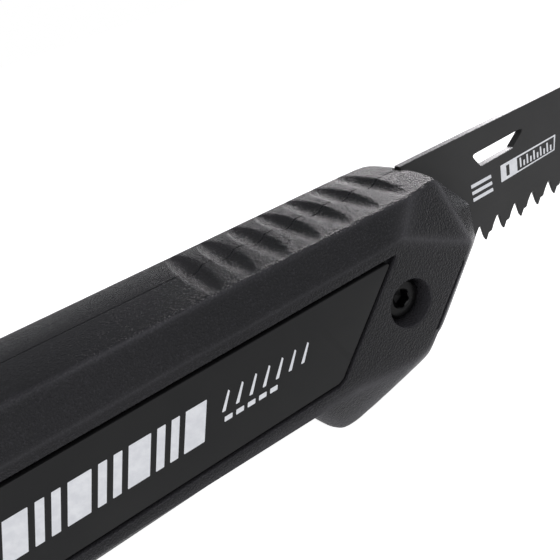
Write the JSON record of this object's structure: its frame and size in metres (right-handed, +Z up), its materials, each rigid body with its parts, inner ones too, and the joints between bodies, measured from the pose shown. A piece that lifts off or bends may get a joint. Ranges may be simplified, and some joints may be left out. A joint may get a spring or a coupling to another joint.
{
  "type": "drywall saw",
  "caption": "Jab saw for plasterboard: a two-part moulded handle clamps a tapered toothed blade, with a thumb grip, finger guard and hanging hole.",
  "frame": {"origin": "centre of the hanging hole, on the blade's middle plane", "axes": "+X from the butt to the blade's tip, +Y across the handle towards the left shell, +Z up, away from the teeth"},
  "size_m": [0.3062, 0.027, 0.0377],
  "materials": {
    "handle": "matt black moulded plastic with a fine spark-eroded grain",
    "name_plate": "smooth satin black plastic with white printed marks",
    "blade": "satin charcoal coating on steel, with a bare ground spine and teeth",
    "black_steel": "black oxide steel",
    "bright_steel": "zinc plated steel"
  },
  "bodies": {
    "handle": {"right_shell": "handle", "left_shell": "handle", "right_name_plate": "name_plate", "left_name_plate": "name_plate", "clamp_nut": "bright_steel", "shell_screw_front": "bright_steel", "shell_screw_middle": "bright_steel", "shell_screw_rear": "bright_steel"},
    "clamp": {"clamp_screw": "black_steel", "clamp_washer": "bright_steel"},
    "blade": {"saw_blade": "blade"}
  },
  "joints": [
    {"name": "clamp_screw_turn", "type": "hinge", "parent": "handle", "child": "clamp", "pos_m": [0.122, 0, -0.002], "axis": [0, -1, 0], "range_deg": [0, 450]},
    {"name": "blade_slide", "type": "slide", "parent": "handle", "child": "blade", "axis": [1, 0, 0], "range_m": [0, 0.06]}
  ]
}
